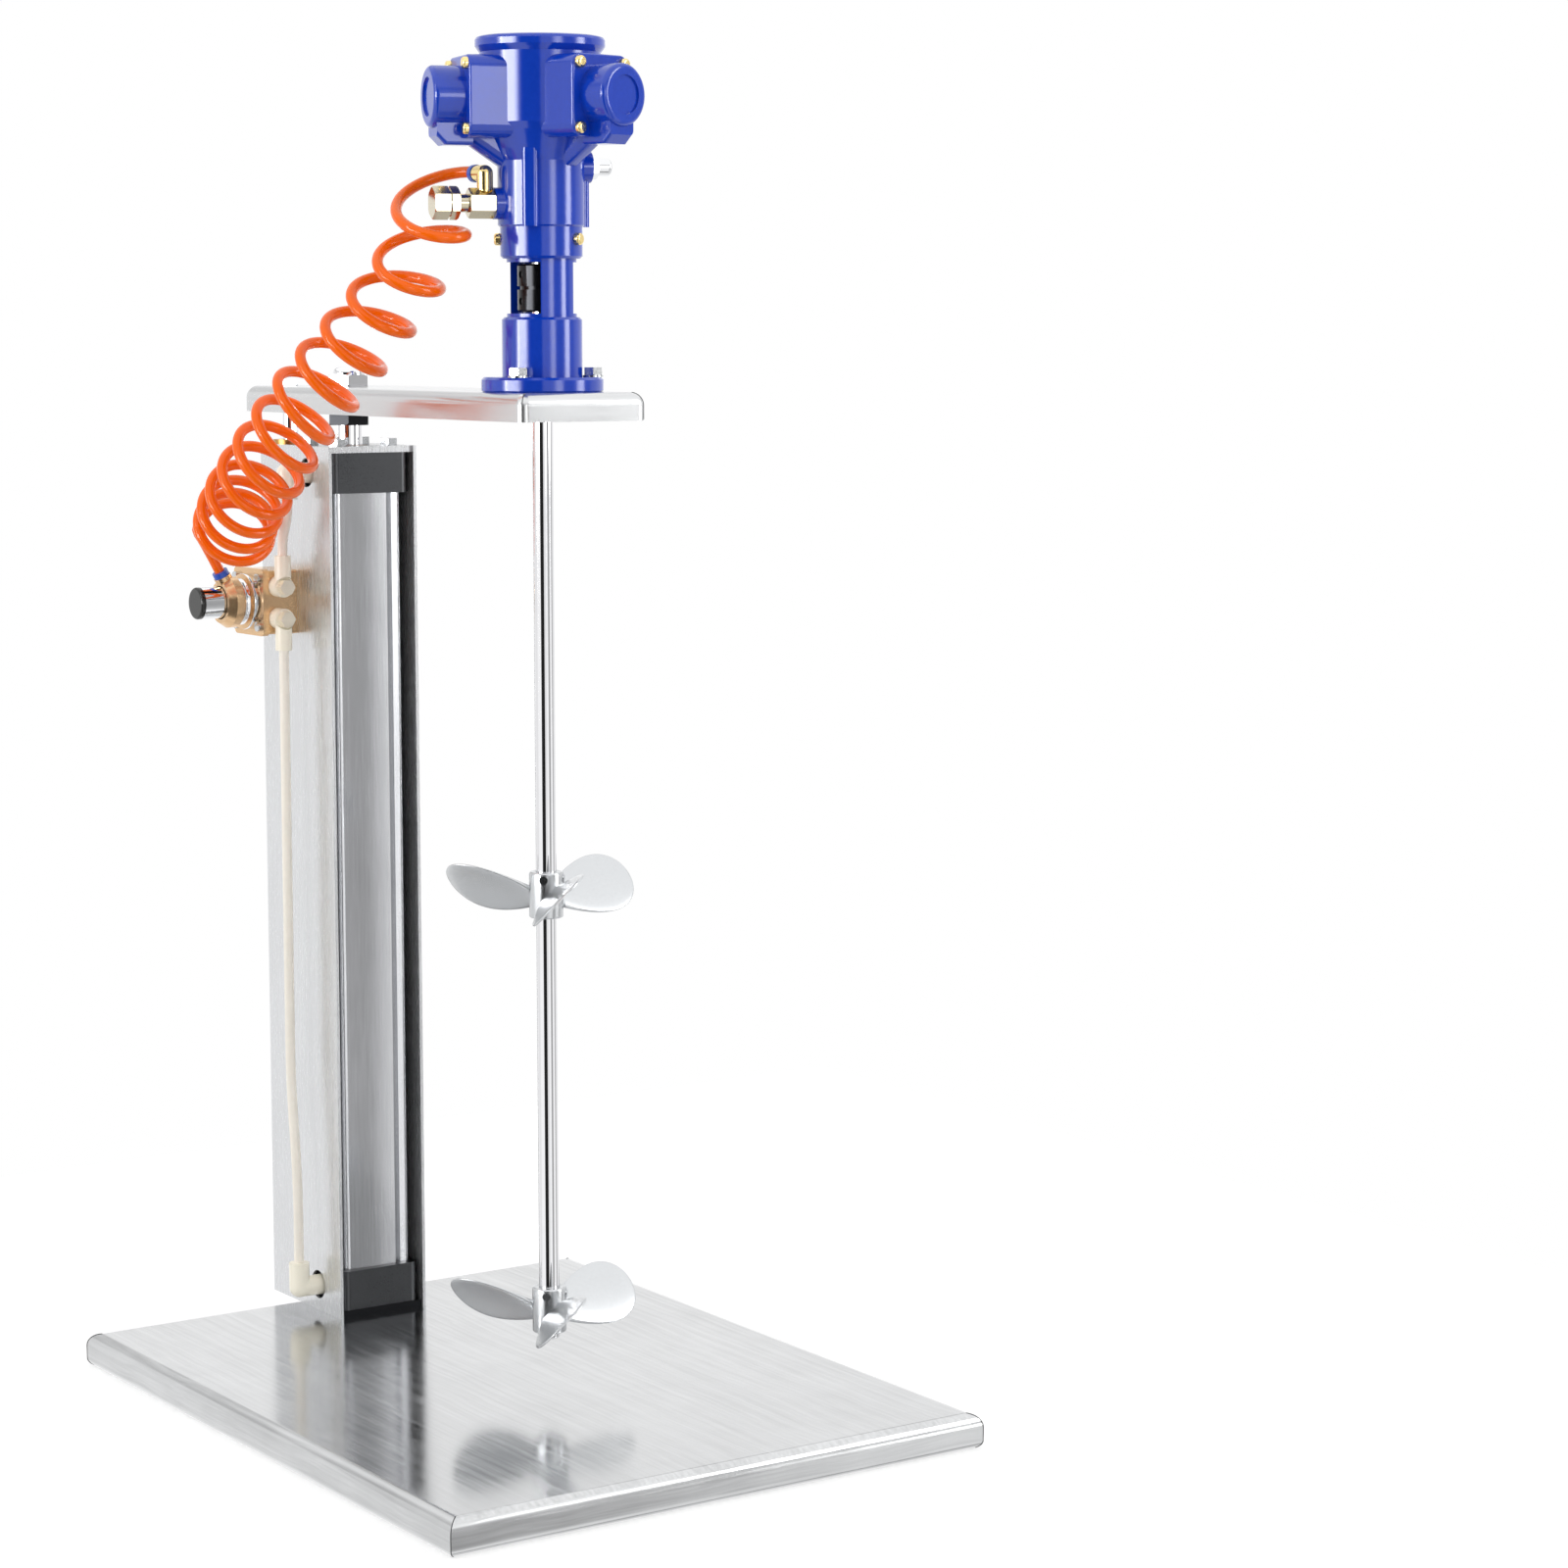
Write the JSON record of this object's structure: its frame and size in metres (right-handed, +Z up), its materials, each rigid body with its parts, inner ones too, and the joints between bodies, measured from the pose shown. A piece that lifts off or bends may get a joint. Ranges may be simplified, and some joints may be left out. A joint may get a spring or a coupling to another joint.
{
  "type": "tank agitator",
  "caption": "Pneumatic tank agitator: a radial-piston air motor on an air-lifted arm turns a shaft with two propellers over a flat base plate.",
  "frame": {"origin": "middle of the base plate's underside, on the floor", "axes": "+Z up, front of the stand towards -Y, column at the back (+Y), hand valve on the left (-X)"},
  "size_m": [0.352, 0.4905, 0.8055],
  "materials": {
    "brushed stainless": "brushed stainless steel sheet, satin grain, polished folded edges",
    "polished stainless": "ground and polished stainless steel",
    "cast stainless": "satin investment-cast stainless steel",
    "zinc steel": "zinc-plated steel fasteners",
    "blue enamel": "glossy blue enamel on cast metal",
    "brass": "plain brass, lightly oxidised",
    "nickel": "nickel-plated brass",
    "anodised aluminium": "clear anodised extruded aluminium",
    "grey cap": "dark grey coated die-cast aluminium",
    "black oxide": "black oxide steel",
    "bearing bronze": "sintered bronze",
    "bearing steel": "ground bearing steel",
    "seal rubber": "black nitrile rubber",
    "gold anodised": "pale gold passivated die casting",
    "knob chrome": "bright chrome",
    "black plastic": "glossy black moulded plastic",
    "ivory plastic": "ivory moulded plastic",
    "blue plastic": "blue moulded plastic",
    "clear tube": "milky translucent polyurethane tube",
    "orange hose": "orange polyurethane hose"
  },
  "bodies": {
    "stand": {"base_plate": "brushed stainless", "base_stiffener": "brushed stainless", "column_channel": "brushed stainless", "column_foot_plate": "black oxide", "foot_screws": "zinc steel", "column_top_plate": "brushed stainless", "top_plate_screws": "zinc steel", "cylinder_bottom_cap": "grey cap", "cylinder_top_cap": "grey cap", "cylinder_barrel": "anodised aluminium", "tie_rods": "zinc steel", "rod_bush": "bearing bronze", "guide_bushes": "bearing bronze", "guide_bracket": "anodised aluminium", "hand_valve_body": "gold anodised", "valve_screws": "zinc steel", "valve_collet": "blue plastic", "banjo_elbows": "ivory plastic", "banjo_bolts": "nickel", "port_elbows": "ivory plastic", "air_tube_lower": "clear tube", "air_tube_upper": "clear tube", "hose_lead_lower": "orange hose", "hose_coil": "orange hose"},
    "lift": {"piston": "anodised aluminium", "piston_seal": "seal rubber", "piston_rod": "polished stainless", "rod_lock_nut": "zinc steel", "dome_nut": "polished stainless", "guide_rods": "polished stainless", "guide_nuts": "zinc steel", "arm": "brushed stainless", "rod_block": "black oxide", "flange_bolts": "zinc steel", "flange_washers": "zinc steel", "flange_nuts": "zinc steel", "motor_lantern": "blue enamel", "collar_screws": "brass", "shaft_bearings": "bearing steel", "motor_body": "blue enamel", "motor_crown": "blue enamel", "cylinder_head_1": "blue enamel", "cylinder_head_2": "blue enamel", "cylinder_head_3": "blue enamel", "head_screws": "brass", "inlet_valve_body": "nickel", "inlet_elbow": "brass", "inlet_collet": "blue plastic", "exhaust_silencer": "nickel", "hose_lead_upper": "orange hose"},
    "rotor": {"mixing_shaft": "polished stainless", "output_shaft": "bearing steel", "shaft_coupling": "black oxide", "coupling_screws": "black oxide", "propeller_lower": "cast stainless", "propeller_upper": "cast stainless", "propeller_screws": "zinc steel"},
    "valve_knob": {"valve_knob": "knob chrome", "valve_knob_cap": "black plastic"},
    "speed_knob": {"speed_knob": "nickel"}
  },
  "joints": [
    {"name": "arm_lift", "type": "slide", "parent": "stand", "child": "lift", "axis": [0, 0, 1], "range_m": [0, 0.4], "deforming": ["hose_coil"]},
    {"name": "shaft_spin", "type": "hinge", "parent": "lift", "child": "rotor", "pos_m": [0, -0.0374, 0.3], "axis": [0, 0, 1], "continuous": true},
    {"name": "valve_push", "type": "slide", "parent": "stand", "child": "valve_knob", "axis": [1, 0, 0], "range_m": [0, 0.008]},
    {"name": "speed_turn", "type": "hinge", "parent": "lift", "child": "speed_knob", "pos_m": [-0.05409, -0.02291, 0.712], "axis": [-0.9659, 0.2588, 0], "range_deg": [0, 1080]}
  ]
}
